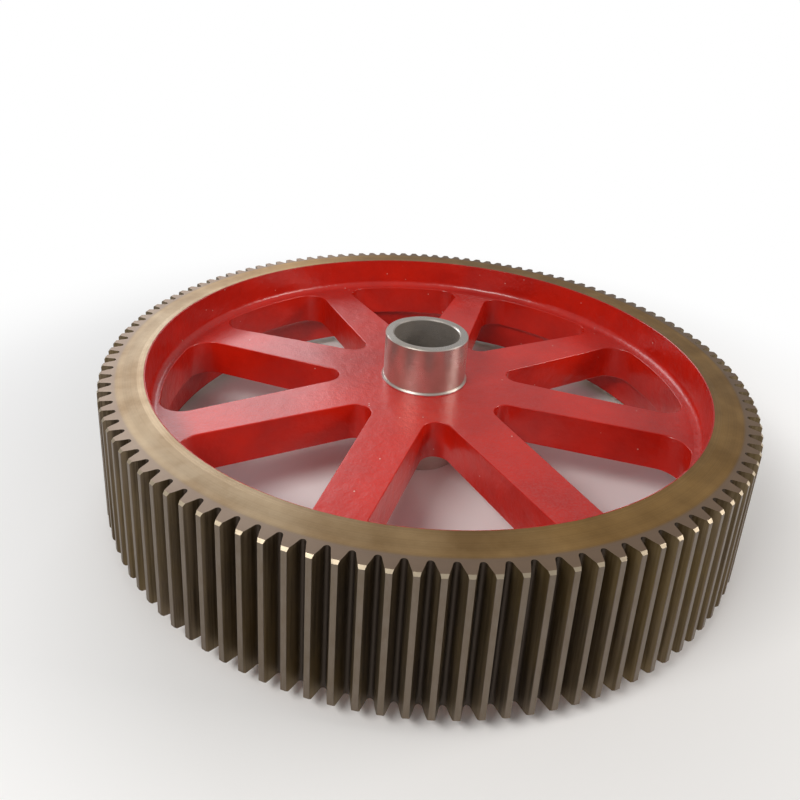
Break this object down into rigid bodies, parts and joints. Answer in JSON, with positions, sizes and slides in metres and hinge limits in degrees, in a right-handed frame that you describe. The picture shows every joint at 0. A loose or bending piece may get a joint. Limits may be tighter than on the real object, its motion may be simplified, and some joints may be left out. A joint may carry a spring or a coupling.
{
  "type": "spur gear",
  "caption": "Large spur gear with straight teeth on a forged ring, a spoked cast wheel centre and a plain-bored hub sleeve standing proud on both sides.",
  "frame": {"origin": "on the bore axis at mid-width of the gear, the centre of its box", "axes": "+Z along the bore axis, up as the gear lies flat; the spokes lie 22.5 degrees either side of X and Y, and one tooth is centred on +X"},
  "size_m": [2.4598, 2.46, 0.54],
  "materials": {
    "machined_steel": "machined and oiled, turned end faces and hobbed teeth",
    "red_enamel": "glossy brushed-on enamel over a sand-cast surface",
    "turned_steel": "fine turned, bright",
    "fastener_steel": "plain oiled steel"
  },
  "bodies": {
    "root": {"gear_ring": "machined_steel", "wheel_centre": "red_enamel", "hub_sleeve": "turned_steel", "upper_collar": "turned_steel", "lower_collar": "turned_steel", "sleeve_lock_pins": "fastener_steel", "ring_lock_screws": "fastener_steel"}
  },
  "joints": []
}
